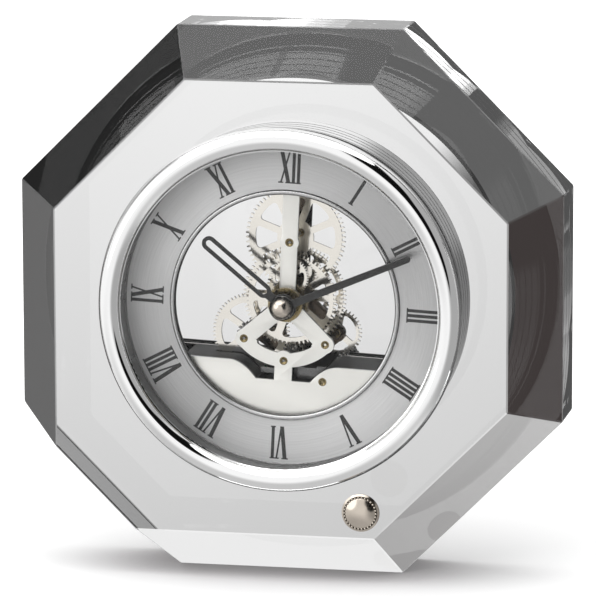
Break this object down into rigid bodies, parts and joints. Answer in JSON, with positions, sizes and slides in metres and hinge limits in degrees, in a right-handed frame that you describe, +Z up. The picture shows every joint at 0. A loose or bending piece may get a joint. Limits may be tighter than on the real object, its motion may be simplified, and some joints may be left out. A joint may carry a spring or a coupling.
{
  "type": "desk clock",
  "caption": "Octagonal crystal block desk clock with a round chrome bezel, Roman numeral ring and a skeleton quartz movement whose wheels show through the open dial.",
  "frame": {"origin": "middle of the clock's bounding box, on the surface that its flat bottom facet rests on", "axes": "+X to the viewer's right, +Y from the dial towards the rear, +Z up; the dial faces -Y"},
  "size_m": [0.16, 0.0437, 0.16],
  "materials": {
    "crystal": "clear polished optical crystal",
    "lens_glass": "clear flat mineral glass",
    "polished_chrome": "mirror-polished chrome plate",
    "stud_silver": "satin silver with a soft turned grain",
    "dial_silver": "circular brushed silver",
    "case_black": "black chrome, satin",
    "band_rubber": "matt black rubber band",
    "plate_silver": "satin nickel plate, warm silver",
    "plate_dark": "polished dark nickel plate",
    "steel": "fine turned steel",
    "steel_pinion": "polished cut steel",
    "brass_bush": "turned brass",
    "wheel_champagne": "nickel-washed brass, circular grain",
    "hand_grey": "dark grey enamel, satin",
    "module_black": "gloss black moulded housing",
    "copper_wire": "enamelled copper winding",
    "board_green": "green lacquered circuit board",
    "magnet_black": "bonded magnet",
    "battery_shell": "plain printed-free metal jacket",
    "cover_black": "fine-textured black plastic"
  },
  "bodies": {
    "root": {"crystal_block": "crystal", "front_lens": "lens_glass", "rear_lens": "lens_glass", "bezel": "polished_chrome", "inner_ring": "polished_chrome", "dial_rim": "polished_chrome", "medallion": "stud_silver", "dial": "dial_silver", "case_ring": "case_black", "tension_band": "band_rubber", "front_plate": "plate_silver", "upper_bridge": "plate_silver", "rear_plate": "plate_dark", "top_pillar": "steel", "plate_screws": "steel", "bridge_screws": "steel", "motion_post": "steel", "stator": "steel", "coil_core": "steel", "quartz_can": "steel", "contact_plus": "steel", "contact_minus": "steel", "cover_screws": "steel", "centre_bush": "brass_bush", "front_bushes": "brass_bush", "rear_bushes": "brass_bush", "module_case": "module_black", "coil": "copper_wire", "circuit_board": "board_green", "battery": "battery_shell", "rear_cover": "cover_black"},
    "minute_body": {"minute_hand": "hand_grey", "hand_nut": "stud_silver", "minute_arbor": "steel", "cannon_pinion": "steel_pinion", "centre_wheel": "wheel_champagne", "setting_gear": "wheel_champagne"},
    "hour_body": {"hour_hand": "hand_grey", "hour_collet": "brass_bush", "hour_wheel": "brass_bush"},
    "motion_body": {"motion_wheel": "wheel_champagne"},
    "top_body": {"top_wheel": "wheel_champagne", "top_pinion": "steel_pinion"},
    "inner_body": {"inner_wheel": "wheel_champagne", "inner_pinion": "steel_pinion"},
    "left_body": {"left_wheel": "wheel_champagne", "left_pinion": "steel_pinion"},
    "relay_body": {"relay_wheel": "wheel_champagne", "relay_pinion": "steel_pinion"},
    "rotor_body": {"rotor": "magnet_black", "rotor_pinion": "steel_pinion"},
    "idler_body": {"idler_wheel": "wheel_champagne"},
    "knob_body": {"knob_pinion": "steel_pinion", "setting_knob": "cover_black"},
    "hatch_body": {"battery_hatch": "cover_black"}
  },
  "joints": [
    {"name": "minute_hand_turn", "type": "hinge", "parent": "root", "child": "minute_body", "pos_m": [0, -0.00155, 0.08], "axis": [0, 1, 0], "continuous": true},
    {"name": "hour_hand_turn", "type": "hinge", "parent": "root", "child": "hour_body", "pos_m": [0, -0.00155, 0.08], "axis": [0, 1, 0], "continuous": true},
    {"name": "motion_wheel_turn", "type": "hinge", "parent": "root", "child": "motion_body", "pos_m": [0.00033, -0.00155, 0.08719], "axis": [0, 1, 0], "continuous": true},
    {"name": "top_wheel_turn", "type": "hinge", "parent": "root", "child": "top_body", "pos_m": [0.00081, -0.00155, 0.09788], "axis": [0, 1, 0], "continuous": true},
    {"name": "inner_wheel_turn", "type": "hinge", "parent": "root", "child": "inner_body", "pos_m": [0, -0.00155, 0.08], "axis": [0, 1, 0], "continuous": true},
    {"name": "left_wheel_turn", "type": "hinge", "parent": "root", "child": "left_body", "pos_m": [-0.01249, -0.00155, 0.06945], "axis": [0, 1, 0], "continuous": true},
    {"name": "relay_wheel_turn", "type": "hinge", "parent": "root", "child": "relay_body", "pos_m": [-0.00076, -0.00155, 0.06322], "axis": [0, 1, 0], "continuous": true},
    {"name": "rotor_turn", "type": "hinge", "parent": "root", "child": "rotor_body", "pos_m": [-0.00095, -0.00155, 0.05904], "axis": [0, 1, 0], "continuous": true},
    {"name": "idler_wheel_turn", "type": "hinge", "parent": "root", "child": "idler_body", "pos_m": [0.01148, -0.00155, 0.06836], "axis": [0, 1, 0], "continuous": true},
    {"name": "setting_knob_turn", "type": "hinge", "parent": "root", "child": "knob_body", "pos_m": [0.01337, -0.00155, 0.05954], "axis": [0, 1, 0], "continuous": true},
    {"name": "battery_hatch_slide", "type": "slide", "parent": "root", "child": "hatch_body", "axis": [0, 1, 0], "range_m": [0, 0.012]}
  ],
  "couplings": [
    {"joint": "hour_hand_turn", "follows": "minute_hand_turn", "ratio": 0.083333},
    {"joint": "motion_wheel_turn", "follows": "minute_hand_turn", "ratio": -0.33333},
    {"joint": "top_wheel_turn", "follows": "minute_hand_turn", "ratio": -5},
    {"joint": "inner_wheel_turn", "follows": "minute_hand_turn", "ratio": 20},
    {"joint": "left_wheel_turn", "follows": "minute_hand_turn", "ratio": -80},
    {"joint": "relay_wheel_turn", "follows": "minute_hand_turn", "ratio": 400},
    {"joint": "rotor_turn", "follows": "minute_hand_turn", "ratio": -1800},
    {"joint": "idler_wheel_turn", "follows": "minute_hand_turn", "ratio": -1.4167},
    {"joint": "setting_knob_turn", "follows": "minute_hand_turn", "ratio": 4.25}
  ]
}
